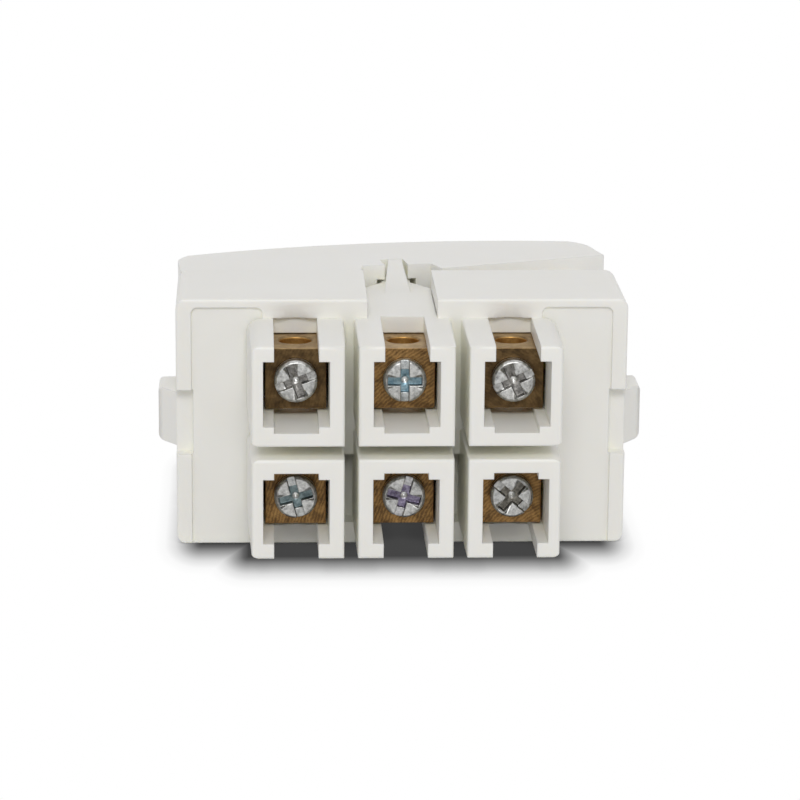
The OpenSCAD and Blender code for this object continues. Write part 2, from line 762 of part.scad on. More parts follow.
module fixed_contact(side, row) {
  outer = tower_pitch + block_w / 2;
  color(brass)
    in_frame()
      translate([0, 0, mid_z + row * row_off])
        mirror([side > 0 ? 0 : 1, 0, 0])
          difference() {
            union() {
              strip_plate(fixed_x - strip_past, outer, strip_h);
              translate([outer - strip_t, back_wall, -strip_h / 2])
                cube([strip_t, strip_t + lip_h, strip_h]);
            }
            translate([fixed_x, 0, 0])
              rod_y(rivet_r + rivet_clear, 0, strip_y + over);
          }
}

// A contact rivet with its head's dome at the far end of +Z
module contact_rivet(shank) {
  translate([0, 0, -shank]) cylinder(r = rivet_r, h = shank + eps);
  intersection() {
    cylinder(r = contact_r, h = contact_h);
    translate([0, 0, contact_h - dome_r]) sphere(r = dome_r);
  }
}

module fixed_rivet(side, row) {
  color(silver)
    in_frame()
      translate([side * fixed_x, strip_y, mid_z + row * row_off])
        rotate([-90, 0, 0])
          contact_rivet(strip_t);
}

module saddle(row) {
  color(brass)
    in_frame()
      translate([0, 0, mid_z + row * row_off]) {
        strip_plate(-saddle_w / 2, saddle_w / 2, 2 * saddle_half);
        for (side = [-1, 1])
          translate([0, 0, side * (saddle_half - saddle_ear_t / 2)])
            difference() {
              translate([-saddle_ear_w / 2, strip_y - eps, -saddle_ear_t / 2])
                cube([saddle_ear_w, bar_y - strip_y + trunnion_r, saddle_ear_t]);
              translate([0, bar_y, -saddle_ear_t])
                cylinder(r = trunnion_r + trunnion_clear, h = 2 * saddle_ear_t);
              translate([-trunnion_r - trunnion_clear, bar_y, -saddle_ear_t])
                cube([2 * (trunnion_r + trunnion_clear), trunnion_r + over, 2 * saddle_ear_t]);
            }
      }
}

module seesaw_bar(row) {
  half = arm_l + arm_past;
  color(brass)
    in_frame()
      on_bar(row)
        difference() {
          union() {
            translate([-half, -bar_t / 2, -bar_w / 2]) cube([2 * half, bar_t, bar_w]);
            for (turn = [0, 180])
              rotate([turn, 0, 0])
                translate([0, 0, bar_w / 2 - trunnion_root])
                  cylinder(r = trunnion_r, h = saddle_half - bar_w / 2 + trunnion_root);
          }
          for (side = [-1, 1])
            translate([side * arm_l, 0, 0])
              rod_y(rivet_r + rivet_clear, -bar_t, bar_t);
        }
}

module moving_rivet(side, row) {
  color(silver)
    in_frame()
      on_bar(row)
        translate([side * arm_l, -bar_t / 2, 0])
          rotate([90, 0, 0])
            contact_rivet(bar_t);
}

module plunger(row) {
  color(white)
    in_frame()
      on_rocker()
        translate([0, 0, mid_z + row * row_off]) {
          rod_y(spigot_r, shoulder_v - eps, shoulder_v + spigot_l);
          rod_y(plunger_r, -tip_v + tip_r / 2, shoulder_v);
          rod_y(tip_r, -tip_v, -tip_v + tip_r);
          translate([0, -tip_v, 0]) sphere(r = tip_r);
        }
}

// The spring is one unbroken tube: rings of points along a helix
function coil_point(t) =
  [coil_r * cos(360 * t), coil_r * sin(360 * t), spring_wire / 2 + (spring_l - spring_wire) * t / coil_turns];
function coil_ring(t) = [
  for (k = [0 : wire_sides - 1])
    let (a = 360 * k / wire_sides, out = spring_wire / 2 * cos(a), up = spring_wire / 2 * sin(a))
      coil_point(t) + [out * cos(360 * t), out * sin(360 * t), up]];

module coil_spring() {
  count = coil_rings * coil_turns;
  points = [for (i = [0 : count]) each coil_ring(i / coil_rings)];
  sides = [
    for (i = [0 : count - 1])
      for (k = [0 : wire_sides - 1])
        let (a = i * wire_sides + k, b = i * wire_sides + (k + 1) % wire_sides)
          each [[a, a + wire_sides, b], [b, a + wire_sides, b + wire_sides]]];
  first = [for (k = [1 : wire_sides - 2]) [0, k, k + 1]];
  last_start = count * wire_sides;
  last = [for (k = [1 : wire_sides - 2]) [last_start, last_start + k + 1, last_start + k]];
  polyhedron(points, concat(sides, first, last));
}

module spring(row) {
  color(black_steel)
    in_frame()
      on_rocker()
        translate([0, shoulder_v, mid_z + row * row_off])
          rotate([-90, 0, 0])
            coil_spring();
}

echo(least_gap_between_spring_coils = spring_gap);
echo(origin_from_back_face = mid_y);

housing();
rocker();
for (r = ROWS) {
  for (c = [0 : 2]) {
    terminal_block(c - 1, row_sign(r));
    terminal_screw(c - 1, row_sign(r), slot_angles[r == "upper" ? 1 : 0][c]);
  }
  for (s = ["left", "right"]) {
    fixed_contact(side_sign(s), row_sign(r));
    fixed_rivet(side_sign(s), row_sign(r));
    moving_rivet(side_sign(s), row_sign(r));
  }
  saddle(row_sign(r));
  seesaw_bar(row_sign(r));
  plunger(row_sign(r));
  spring(row_sign(r));
}
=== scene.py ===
# %% [markdown]
# # A rocker switch module, seen from its terminals
# The object is the working part of a white wall switch: a moulded housing with six screw
# terminals on its back, and a rocker on its front that tips two contact bars over.
# It stands on one long side, so the six terminals face us.
# The solids come ready from the part's own model, each at its right place and size.
# This lesson gives them soft edges, finishes, light and a camera.

# %% Load the solids
import math

import bpy
from mathutils import Matrix, Vector


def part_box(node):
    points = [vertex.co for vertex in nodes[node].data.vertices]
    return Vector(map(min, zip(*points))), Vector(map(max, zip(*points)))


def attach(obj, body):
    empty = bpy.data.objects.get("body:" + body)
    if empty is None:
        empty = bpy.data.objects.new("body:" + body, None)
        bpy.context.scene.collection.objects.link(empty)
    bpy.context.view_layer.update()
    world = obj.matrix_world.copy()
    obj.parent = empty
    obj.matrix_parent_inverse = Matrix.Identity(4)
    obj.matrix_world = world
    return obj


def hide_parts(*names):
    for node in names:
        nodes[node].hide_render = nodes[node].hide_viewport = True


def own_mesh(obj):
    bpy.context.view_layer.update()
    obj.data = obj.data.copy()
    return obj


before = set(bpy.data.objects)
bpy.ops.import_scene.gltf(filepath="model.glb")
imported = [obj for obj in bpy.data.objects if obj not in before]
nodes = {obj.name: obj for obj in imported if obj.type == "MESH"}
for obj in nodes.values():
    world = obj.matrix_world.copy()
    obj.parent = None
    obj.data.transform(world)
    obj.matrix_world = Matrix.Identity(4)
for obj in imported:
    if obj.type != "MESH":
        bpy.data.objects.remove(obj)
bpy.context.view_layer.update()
MM = 0.001
ROWS = ("lower", "upper")
SIDES = ("left", "right")
print("solids:", len(nodes))

# %% [markdown]
# ## The camera
# The photograph was taken from a little above with a long lens, so lines that run away from us
# hardly draw together. A camera can be aimed with a constraint, but here its three axes are worked
# out from the tilt, the turn and the roll of the view. Then one point of the object, the middle of
# the housing's back face, is put on its own pixel, and the picture's frame needs no shift.

# %% Where the camera stands
LENS = 153.0
SENSOR = 36.0
PICTURE = 800
PIXELS = LENS / SENSOR * PICTURE
VIEW_DOWN = math.radians(14.8)
VIEW_TURN = math.radians(-2.6)
VIEW_ROLL = math.radians(0.5)
VIEW_DISTANCE = 322 * MM
TOWER_DEPTH = 11 * MM
MIDDLE_PIXEL = (401.6, 422.1)

housing_low, housing_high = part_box("housing")
back_face = housing_low[1] + TOWER_DEPTH
middle = Vector((0, back_face, housing_high[2] / 2))

forward = Vector((-math.sin(VIEW_TURN) * math.cos(VIEW_DOWN),
                  math.cos(VIEW_TURN) * math.cos(VIEW_DOWN),
                  -math.sin(VIEW_DOWN)))
level = Vector((math.cos(VIEW_TURN), math.sin(VIEW_TURN), 0))
upright = level.cross(forward)
right = math.cos(VIEW_ROLL) * level + math.sin(VIEW_ROLL) * upright
up = math.cos(VIEW_ROLL) * upright - math.sin(VIEW_ROLL) * level
across = (MIDDLE_PIXEL[0] - PICTURE / 2) / PIXELS
above = (PICTURE / 2 - MIDDLE_PIXEL[1]) / PIXELS
stand = middle - VIEW_DISTANCE * (forward + across * right + above * up)
print("the camera stands at", [round(c, 3) for c in stand])

# %% Camera
NEAREST_SEEN = 10 * MM

lens = bpy.data.cameras.new("camera")
lens.lens = LENS
lens.sensor_width = SENSOR
lens.clip_start = NEAREST_SEEN
camera = bpy.data.objects.new("camera", lens)
bpy.context.scene.collection.objects.link(camera)
camera.matrix_world = Matrix((
    (right.x, up.x, -forward.x, stand.x),
    (right.y, up.y, -forward.y, stand.y),
    (right.z, up.z, -forward.z, stand.z),
    (0, 0, 0, 1)))
bpy.context.scene.camera = camera
bpy.context.scene.view_settings.view_transform = "Standard"
print("camera:", LENS, "mm lens")

# %% [markdown]
# ## Small helpers for node materials
# Every finish here is made of nodes, so it stays sharp at any distance and needs no pictures.
# A few helpers keep the cells short. The first two add a node with its values and start a finish
# with its shader. The others make a noise, a ramp of tones, a range, a mix and a bump.

# %% Node helpers
COLOUR_FIRST, COLOUR_SECOND, COLOUR_RESULT = 6, 7, 2
VALUE_FIRST, VALUE_SECOND, VALUE_RESULT = 2, 3, 0
EDGE_SAMPLES = 4
NEW_STOP = 0.5


def add_node(tree, kind, **values):
    node = tree.nodes.new("ShaderNode" + kind)
    for name, value in values.items():
        if hasattr(node, name):
            setattr(node, name, value)
        else:
            node.inputs[name.replace("_", " ")].default_value = value
    return node


def new_finish(name):
    finish = bpy.data.materials.new(name)
    finish.use_nodes = True
    tree = finish.node_tree
    tree.nodes.clear()
    shader = add_node(tree, "BsdfPrincipled")
    output = add_node(tree, "OutputMaterial")
    tree.links.new(shader.outputs["BSDF"], output.inputs["Surface"])
    return finish, tree, shader


def noise(tree, place, scale, detail, roughness):
    texture = add_node(tree, "TexNoise", Scale=scale, Detail=detail, Roughness=roughness)
    tree.links.new(place.outputs["Object"], texture.inputs["Vector"])
    return texture.outputs["Fac"]


def greys(*stops):
    return [(place, (tone, tone, tone)) for place, tone in stops]


def tone_ramp(tree, source, stops):
    ramp = add_node(tree, "ValToRGB")
    elements = ramp.color_ramp.elements
    while len(elements) < len(stops):
        elements.new(NEW_STOP)
    for element, (place, colour) in zip(elements, stops):
        element.position = place
        element.color = (*colour, 1)
    tree.links.new(source, ramp.inputs["Fac"])
    return ramp.outputs["Color"]


def value_range(tree, source, low, high):
    remap = add_node(tree, "MapRange")
    remap.inputs["To Min"].default_value = low
    remap.inputs["To Max"].default_value = high
    tree.links.new(source, remap.inputs["Value"])
    return remap.outputs["Result"]


def mix_colours(tree, share, first, second):
    mix = add_node(tree, "Mix", data_type="RGBA")
    tree.links.new(share, mix.inputs["Factor"])
    tree.links.new(first, mix.inputs[COLOUR_FIRST])
    if isinstance(second, tuple):
        mix.inputs[COLOUR_SECOND].default_value = (*second, 1)
    else:
        tree.links.new(second, mix.inputs[COLOUR_SECOND])
    return mix.outputs[COLOUR_RESULT]


def surface_bump(tree, shader, height, depth, edge=0):
    bump = add_node(tree, "Bump", Strength=1.0, Distance=depth)
    tree.links.new(height, bump.inputs["Height"])
    tree.links.new(bump.outputs["Normal"], shader.inputs["Normal"])
    if edge:
        rounding = add_node(tree, "Bevel", samples=EDGE_SAMPLES, Radius=edge)
        tree.links.new(rounding.outputs["Normal"], bump.inputs["Normal"])


print("node helpers ready")

# %% [markdown]
# ## Moulded white plastic
# The housing is moulded in a warm white. A real moulding is never one colour: it is a little
# yellower where it is thick, and its skin has a fine grain from the mould that breaks up the shine.
# A broad noise shifts the colour, and a fine one makes the grain and the roughness.
# White plastic also lets light in for about a millimetre, which keeps narrow gaps from going black,
# so some of its colour is scattered under the skin. In a narrow gap that light has passed through
# the walls several times and has turned yellow. A few bounces can't show that, so painted bounce
# light is added: the plastic is made paler and warmer where an ambient occlusion node finds walls
# close by.

# %% White plastics
CLOUD_SCALE, GRAIN_SCALE = 140.0, 5200.0
WARM_AT, PALE_AT = 0.3, 0.7
MOULD_EDGE = 0.12 * MM
GAP_REACH = 3 * MM
# Painted bounce light in narrow gaps: the colour turns paler and warmer where walls are close.
GAP_BOUNCE_SHARES = greys((0.2, 1), (0.65, 0))
GAP_PAINTED_BOUNCE = (0.98, 0.97, 0.86)
GAP_SAMPLES = 6
PLASTIC_IOR = 1.5
SCATTER_SHARE = 0.3
SCATTER_COLOURS = (1.0, 0.9, 0.7)
SCATTER_DEPTH = 0.8 * MM


def moulded_plastic(name, pale, warm, rough, grain):
    finish, tree, shader = new_finish(name)
    place = add_node(tree, "TexCoord")
    cloud = noise(tree, place, CLOUD_SCALE, detail=3.0, roughness=0.55)
    fine = noise(tree, place, GRAIN_SCALE, detail=2.0, roughness=0.5)
    colour = tone_ramp(tree, cloud, [(WARM_AT, warm), (PALE_AT, pale)])
    # Painted bounce light: where walls are close, the colour is mixed towards a paler, warmer
    # white.
    walls = add_node(tree, "AmbientOcclusion", samples=GAP_SAMPLES, Distance=GAP_REACH)
    painted_bounce_share = tone_ramp(tree, walls.outputs["AO"], GAP_BOUNCE_SHARES)
    colour = mix_colours(tree, painted_bounce_share, colour, GAP_PAINTED_BOUNCE)
    tree.links.new(colour, shader.inputs["Base Color"])
    tree.links.new(value_range(tree, fine, *rough), shader.inputs["Roughness"])
    surface_bump(tree, shader, fine, grain, edge=MOULD_EDGE)
    shader.inputs["IOR"].default_value = PLASTIC_IOR
    shader.inputs["Subsurface Weight"].default_value = SCATTER_SHARE
    shader.inputs["Subsurface Radius"].default_value = SCATTER_COLOURS
    shader.inputs["Subsurface Scale"].default_value = SCATTER_DEPTH
    return finish


housing_plastic = moulded_plastic(
    "housing_plastic", pale=(0.86, 0.85, 0.815), warm=(0.845, 0.832, 0.79),
    rough=(0.3, 0.44), grain=0.003 * MM)
rocker_plastic = moulded_plastic(
    "rocker_plastic", pale=(0.86, 0.85, 0.82), warm=(0.85, 0.838, 0.80),
    rough=(0.3, 0.42), grain=0.002 * MM)
plunger_plastic = moulded_plastic(
    "plunger_plastic", pale=(0.72, 0.70, 0.64), warm=(0.70, 0.68, 0.61),
    rough=(0.3, 0.4), grain=0.002 * MM)
print("plastics:", housing_plastic.name, rocker_plastic.name, plunger_plastic.name)

# %% [markdown]
# ## Sawn brass
# Each terminal block is cut from a brass bar by a round saw, which leaves shallow arcs across the
# face, and the brass has gone brown with age. The arcs could be modelled as grooves, but they are
# only a few thousandths of a millimetre deep, so a ring pattern drives the bump and some of the
# colour. The rings' middle lies beside the blocks, so that only arcs of it cross them.
# The faces of a block that look up or down get a painted sheen, paler than its sides, and the
# drilled hole for the wire gets a painted golden glint. The sheen is found by the normal, and the
# glint by the distance from the hole's axis.

# %% Where a block's painted sheen and glint lie
BLOCK_WIDTH, BLOCK_DEPTH = 5.7 * MM, 6.2 * MM
HOLE_FROM_FACE = 3.5 * MM
HOLE_EDGE = 1.53 * MM


# Mask of the painted golden glint: points near the wire hole's axis.
def painted_glint_share(tree, place):
    from_axis = add_node(tree, "Mapping")
    from_axis.inputs["Location"].default_value = (-BLOCK_WIDTH / 2, -HOLE_FROM_FACE, 0)
    from_axis.inputs["Scale"].default_value = (BLOCK_WIDTH, BLOCK_DEPTH, 0)
    tree.links.new(place.outputs["Generated"], from_axis.inputs["Vector"])
    distance = add_node(tree, "VectorMath", operation="LENGTH")
    tree.links.new(from_axis.outputs["Vector"], distance.inputs[0])
    inside = add_node(tree, "Math", operation="LESS_THAN")
    tree.links.new(distance.outputs["Value"], inside.inputs[0])
    inside.inputs[1].default_value = HOLE_EDGE
    return inside.outputs[0]


# Mask of the painted sheen: faces that look up or down.
def painted_sheen_share(tree, place):
    facing = add_node(tree, "SeparateXYZ")
    tree.links.new(place.outputs["Normal"], facing.inputs["Vector"])
    upright = add_node(tree, "Math", operation="ABSOLUTE")
    tree.links.new(facing.outputs["Z"], upright.inputs[0])
    return upright.outputs[0]


print("a block is", BLOCK_WIDTH / MM, "by", BLOCK_DEPTH / MM, "mm")

# %% Terminal brass
ARC_SCALE, ARC_DISTORTION = 1050.0, 4.0
ARC_DEPTH = 0.0015 * MM
STAIN_SCALE = 900.0
DARK_AT, DULL_AT, BRIGHT_AT = 0.38, 0.5, 0.62
BRASS_ROUGH = (0.34, 0.6)
BRASS_METALLIC = 0.9
# Painted sheen for faces that look up or down, and painted glint for the wire hole.
UPRIGHT_FACE_SHEEN = [(0.35, (0.27, 0.17, 0.075)), (0.65, (0.50, 0.36, 0.19))]
HOLE_PAINTED_GLINT = [(0.35, (0.38, 0.19, 0.045)), (0.65, (0.66, 0.40, 0.13))]


def sawn_brass(name, bright, dull, dark, saw_shift, arc_share=0.05, with_painted_glints=False):
    finish, tree, shader = new_finish(name)
    place = add_node(tree, "TexCoord")
    shift = add_node(tree, "Mapping")
    shift.inputs["Location"].default_value = saw_shift
    tree.links.new(place.outputs["Object"], shift.inputs["Vector"])
    arcs = add_node(tree, "TexWave", wave_type="RINGS", rings_direction="Y", Scale=ARC_SCALE,
                    Distortion=ARC_DISTORTION, Detail=5.0, Detail_Scale=3.0)
    tree.links.new(shift.outputs["Vector"], arcs.inputs["Vector"])
    stain = noise(tree, place, STAIN_SCALE, detail=6.0, roughness=0.72)
    pattern = add_node(tree, "Mix", data_type="FLOAT", Factor=arc_share)
    tree.links.new(stain, pattern.inputs[VALUE_FIRST])
    tree.links.new(arcs.outputs["Fac"], pattern.inputs[VALUE_SECOND])
    colour = tone_ramp(tree, pattern.outputs[VALUE_RESULT],
                       [(DARK_AT, dark), (DULL_AT, dull), (BRIGHT_AT, bright)])
    # Painted sheen and painted glint, laid over the brass colour.
    if with_painted_glints:
        face_sheen = tone_ramp(tree, stain, UPRIGHT_FACE_SHEEN)
        hole_glint = tone_ramp(tree, stain, HOLE_PAINTED_GLINT)
        colour = mix_colours(tree, painted_sheen_share(tree, place), colour, face_sheen)
        colour = mix_colours(tree, painted_glint_share(tree, place), colour, hole_glint)
    tree.links.new(colour, shader.inputs["Base Color"])
    tree.links.new(value_range(tree, stain, *BRASS_ROUGH), shader.inputs["Roughness"])
    surface_bump(tree, shader, arcs.outputs["Fac"], ARC_DEPTH)
    shader.inputs["Metallic"].default_value = BRASS_METALLIC
    return finish


terminal_brass = sawn_brass(
    "terminal_brass", bright=(0.36, 0.205, 0.075), dull=(0.22, 0.125, 0.045),
    dark=(0.10, 0.055, 0.022), saw_shift=(-16.5 * MM, 0, 3 * MM), arc_share=0.12, with_painted_glints=True)
aged_brass = sawn_brass(
    "aged_brass", bright=(0.17, 0.105, 0.045), dull=(0.105, 0.064, 0.026),
    dark=(0.055, 0.033, 0.015), saw_shift=(-6 * MM, 0, -12 * MM), with_painted_glints=True)
contact_brass = sawn_brass(
    "contact_brass", bright=(0.72, 0.50, 0.20), dull=(0.62, 0.42, 0.16),
    dark=(0.5, 0.33, 0.12), saw_shift=(20 * MM, 0, 20 * MM))
print("brasses:", terminal_brass.name, aged_brass.name, contact_brass.name)

# %% [markdown]
# ## Zinc plated steel
# The screws are steel with a thin zinc plating. It is pale and crystalline on the flat of the head
# and along the slot, and turns blue, violet or grey in the deep cross, where the plating bath
# leaves a film; there it is also darkened with painted shade. At the very bottom of the cone it has
# a painted glint.
# The film, its painted shade and the glint are laid by depth: the mesh's own box runs from 0 to 1
# along the screw, so a ramp along it tells the head's top, the slot, the cross and the middle cone
# apart.

# %% Screw zinc
HEAD_TOP, SLOT_FLOOR, CROSS_FLOOR, CONE_START, CONE_FLOOR = 0.0, 0.14, 0.235, 0.255, 0.29
# Film tint and painted shade, deepening from the head's top into the cross.
FILM_AND_SHADE_SHARES = greys((HEAD_TOP, 0), (SLOT_FLOOR, 0.2), (CROSS_FLOOR, 1))
# Where the painted glint at the cone's bottom lies, by depth.
GLINT_SHARES = greys((CONE_START, 0), (CONE_FLOOR, 1))
PALE_ZINC = [(0.32, (0.22, 0.22, 0.215)), (0.45, (0.40, 0.40, 0.39)), (0.68, (0.66, 0.66, 0.645))]
PAINTED_GLINT_ZINC = [(0.3, (0.78, 0.78, 0.77)), (0.6, (0.96, 0.96, 0.95))]
FILM_AT, FAINT_AT = 0.4, 0.62
CRYSTAL_SCALE, PLATING_SCALE = 3200.0, 2600.0
CRYSTAL_DEPTH = 0.022 * MM
ZINC_ROUGH = (0.22, 0.5)


def plated_zinc(name, film, faint):
    finish, tree, shader = new_finish(name)
    place = add_node(tree, "TexCoord")
    along = add_node(tree, "SeparateXYZ")
    tree.links.new(place.outputs["Generated"], along.inputs["Vector"])
    depth = along.outputs["Y"]
    crystal = add_node(tree, "TexVoronoi", Scale=CRYSTAL_SCALE)
    tree.links.new(place.outputs["Object"], crystal.inputs["Vector"])
    cloud = noise(tree, place, PLATING_SCALE, detail=5.0, roughness=0.7)
    pale = tone_ramp(tree, cloud, PALE_ZINC)
    film_and_shade = tone_ramp(tree, cloud, [(FILM_AT, film), (FAINT_AT, faint)])
    cone_glint = tone_ramp(tree, cloud, PAINTED_GLINT_ZINC)
    # Film tint with painted shade that darkens into the deep cross.
    colour = mix_colours(tree, tone_ramp(tree, depth, FILM_AND_SHADE_SHARES), pale, film_and_shade)
    # A painted glint at the bottom of the middle cone.
    colour = mix_colours(tree, tone_ramp(tree, depth, GLINT_SHARES), colour, cone_glint)
    tree.links.new(colour, shader.inputs["Base Color"])
    tree.links.new(value_range(tree, cloud, *ZINC_ROUGH), shader.inputs["Roughness"])
    surface_bump(tree, shader, crystal.outputs["Distance"], CRYSTAL_DEPTH)
    shader.inputs["Metallic"].default_value = 1.0
    return finish


screw_zinc = {
    "grey": plated_zinc("screw_zinc_grey", (0.11, 0.105, 0.10), (0.30, 0.29, 0.275)),
    "blue": plated_zinc("screw_zinc_blue", (0.10, 0.175, 0.22), (0.24, 0.33, 0.37)),
    "teal": plated_zinc("screw_zinc_teal", (0.10, 0.135, 0.145), (0.20, 0.25, 0.255)),
    "violet": plated_zinc("screw_zinc_violet", (0.12, 0.10, 0.155), (0.30, 0.27, 0.36)),
    "olive": plated_zinc("screw_zinc_olive", (0.085, 0.08, 0.068), (0.22, 0.205, 0.18)),
}
print("zincs:", sorted(screw_zinc))

# %% [markdown]
# ## Silver and spring steel
# The contact tips are silver rivets, slightly tarnished. The two springs are bare drawn wire.
# Both are plain metals, so a noise in the roughness and a faint change of tone are enough.

# %% Silver and steel
METAL_SCALE = 1800.0
TARNISHED_AT, POLISHED_AT = 0.35, 0.65
METAL_GRAIN = 0.003 * MM


def drawn_metal(name, bright, dull, rough):
    finish, tree, shader = new_finish(name)
    place = add_node(tree, "TexCoord")
    cloud = noise(tree, place, METAL_SCALE, detail=4.0, roughness=0.6)
    colour = tone_ramp(tree, cloud, [(TARNISHED_AT, dull), (POLISHED_AT, bright)])
    tree.links.new(colour, shader.inputs["Base Color"])
    tree.links.new(value_range(tree, cloud, *rough), shader.inputs["Roughness"])
    surface_bump(tree, shader, cloud, METAL_GRAIN)
    shader.inputs["Metallic"].default_value = 1.0
    return finish


contact_silver = drawn_metal(
    "contact_silver", bright=(0.86, 0.85, 0.82), dull=(0.74, 0.72, 0.67), rough=(0.2, 0.34))
spring_steel = drawn_metal(
    "spring_steel", bright=(0.42, 0.42, 0.42), dull=(0.30, 0.30, 0.31), rough=(0.25, 0.4))
print("metals:", contact_silver.name, spring_steel.name)

# %% [markdown]
# ## Soft edges
# No real edge is knife sharp: a moulding has a small radius from its mould, and a cut metal block
# has a worn one. The solids come in as loose triangles, so the points that share a place are
# welded first. The large mouldings already have their roundings, made of flat strips. There the
# sharp edges are split off, so that the strips shade as one curve. The small pieces get a real
# bevel. One could bevel the large mouldings too, but their many thin faces would cross.
# In both cases the normals are then weighed by face size, so that the flats stay flat.

# %% Edge helpers
SHARP_ANGLE = math.radians(38)
WELD_REACH = 0.002 * MM
BEVEL_STEPS = 3


def weld_points(node):
    weld = node.modifiers.new("weld", "WELD")
    weld.merge_threshold = WELD_REACH


def weigh_normals(node):
    normals = node.modifiers.new("normals", "WEIGHTED_NORMAL")
    normals.keep_sharp = False


def smooth_roundings(node):
    weld_points(node)
    split = node.modifiers.new("split", "EDGE_SPLIT")
    split.split_angle = SHARP_ANGLE
    weigh_normals(node)


def bevel_edges(node, radius):
    weld_points(node)
    edge = node.modifiers.new("edge", "BEVEL")
    edge.width = radius
    edge.segments = BEVEL_STEPS
    edge.limit_method = "ANGLE"
    edge.angle_limit = SHARP_ANGLE
    edge.use_clamp_overlap = False
    weigh_normals(node)


def dress(node_name, finish, radius=0):
    node = nodes[node_name]
    node.data.materials.clear()
    node.data.materials.append(finish)
    if radius:
        bevel_edges(node, radius)
    else:
        smooth_roundings(node)


print("edge helpers ready")

# %% [markdown]
# ## The mouldings
# Housing and rocker are two mouldings of nearly the same white, and the rocker's is a little less
# yellow. The plungers are a harder, greyer plastic that slides well.
# One white for all would do from afar, but close up three slightly different ones tell them apart.

# %% Dress the mouldings
PLUNGER_EDGE = 0.05 * MM

dress("housing", housing_plastic)
dress("rocker", rocker_plastic)
for row in ROWS:
    dress("plunger_" + row, plunger_plastic, PLUNGER_EDGE)
print("mouldings dressed: housing, rocker and 2 plungers")

# %% [markdown]
# ## The terminals
# The six blocks and screws come from the same boxes of parts, yet they don't all look alike: two
# blocks have aged darker than the rest, and the plating bath has left another film in most of the
# screws. One finish with a random shift for each would give that too. Here each place simply names
# its own brass and its own film, so that the result is the same each time.

# %% Dress the terminals
BLOCK_EDGE, SCREW_EDGE = 0.08 * MM, 0.07 * MM

aged_blocks = [("upper", "left"), ("upper", "right")]
screw_film = {
    ("upper", "left"): "grey", ("upper", "centre"): "blue", ("upper", "right"): "grey",
    ("lower", "left"): "teal", ("lower", "centre"): "violet", ("lower", "right"): "olive",
}
for (row, column), film in screw_film.items():
    brass = aged_brass if (row, column) in aged_blocks else terminal_brass
    dress(f"terminal_block_{row}_{column}", brass, BLOCK_EDGE)
    dress(f"terminal_screw_{row}_{column}", screw_zinc[film], SCREW_EDGE)
print("terminals dressed:", len(screw_film), "blocks and screws")

# %% [markdown]
# ## The contacts
# Inside the housing, strips of bright brass lead from the terminals to silver rivets, and two brass
# bars tip between them. They are punched from sheet, so their edges are only just broken.

# %% Dress the contacts
STRIP_EDGE, RIVET_EDGE = 0.06 * MM, 0.04 * MM

for row in ROWS:
    dress("saddle_" + row, contact_brass, STRIP_EDGE)
    dress("seesaw_bar_" + row, contact_brass, STRIP_EDGE)
    dress("spring_" + row, spring_steel)
    for side in SIDES:
        dress(f"fixed_contact_{row}_{side}", contact_brass, STRIP_EDGE)
        dress(f"fixed_rivet_{row}_{side}", contact_silver, RIVET_EDGE)
        dress(f"moving_rivet_{row}_{side}", contact_silver, RIVET_EDGE)
print("contacts dressed in", len(ROWS), "rows")

# %% [markdown]
# ## The springs
# Each spring sits in a tube of the rocker, between the tube's closed end and the plunger's
# shoulder. A real coil closes up as the plunger is pushed in, and a solid can't do that. So a copy
# of the coil, joined to the rocker, stands in its place, and the solid spring is hidden.

# %% Springs
for row in ROWS:
    solid = nodes["spring_" + row]
    coil = bpy.data.objects.new("spring_coil_" + row, solid.data.copy())
    bpy.context.scene.collection.objects.link(coil)
    smooth_roundings(coil)
    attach(coil, "rocker")
    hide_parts("spring_" + row)
    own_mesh(coil)

# %% [markdown]
# ## The floor
# The object stands on a white table under soft, even light, with only a short dark shadow at its
# foot. For light that bounces, the floor is plain pale card. For the eye it is white, and it
# darkens towards the foot of the housing and under the towers. A lit floor would do that too, but
# it would also be grey far away. So the shadow is made of two parts: an ambient occlusion node
# finds where the object itself keeps light off the floor, and a soft fringe follows the distance
# from the foot and the towers. Past the ends of the object the fringe is made narrower.

# %% Floor helpers
END_FADE = 2.2


def seen_directly(tree):
    ray = add_node(tree, "LightPath")
    first = add_node(tree, "Math", operation="MAXIMUM")
    both = add_node(tree, "Math", operation="MAXIMUM")
    tree.links.new(ray.outputs["Is Camera Ray"], first.inputs[0])
    tree.links.new(ray.outputs["Is Glossy Ray"], first.inputs[1])
    tree.links.new(first.outputs[0], both.inputs[0])
    tree.links.new(ray.outputs["Is Transmission Ray"], both.inputs[1])
    return both.outputs[0]


def vector_step(tree, operation, first, second=None):
    step = add_node(tree, "VectorMath", operation=operation)
    tree.links.new(first, step.inputs[0])
    if second is not None:
        step.inputs[1].default_value = second
    return step.outputs["Value" if operation == "LENGTH" else "Vector"]


def distance_from(tree, point, half_x, low_y, high_y):
    centre = (0, (low_y + high_y) / 2, 0)
    half = (half_x, (high_y - low_y) / 2, 0)
    from_centre = vector_step(tree, "ABSOLUTE", vector_step(tree, "SUBTRACT", point, centre))
    past_edge = vector_step(tree, "SUBTRACT", from_centre, half)
    outside = vector_step(tree, "MAXIMUM", past_edge, (0, 0, 0))
    return vector_step(tree, "LENGTH", vector_step(tree, "MULTIPLY", outside, (END_FADE, 1, 1)))


print("floor helpers ready")

# %% Shadow on the floor
SHADOW_REACH = 11 * MM
SHADOW_TONES = greys((0.0, 0.06), (0.1, 0.13), (0.28, 0.38), (0.5, 0.75), (0.7, 0.95), (0.9, 1.0))
OCCLUDER_REACH = 3 * MM
OCCLUDED_TONES = greys((0.0, 0.5), (0.6, 1.0))
OCCLUDER_SAMPLES = 8
FOOT_INSET = 2.0 * MM
TOWERS_HALF = 14.5 * MM
TOWERS_SHADE = 4.2 * MM


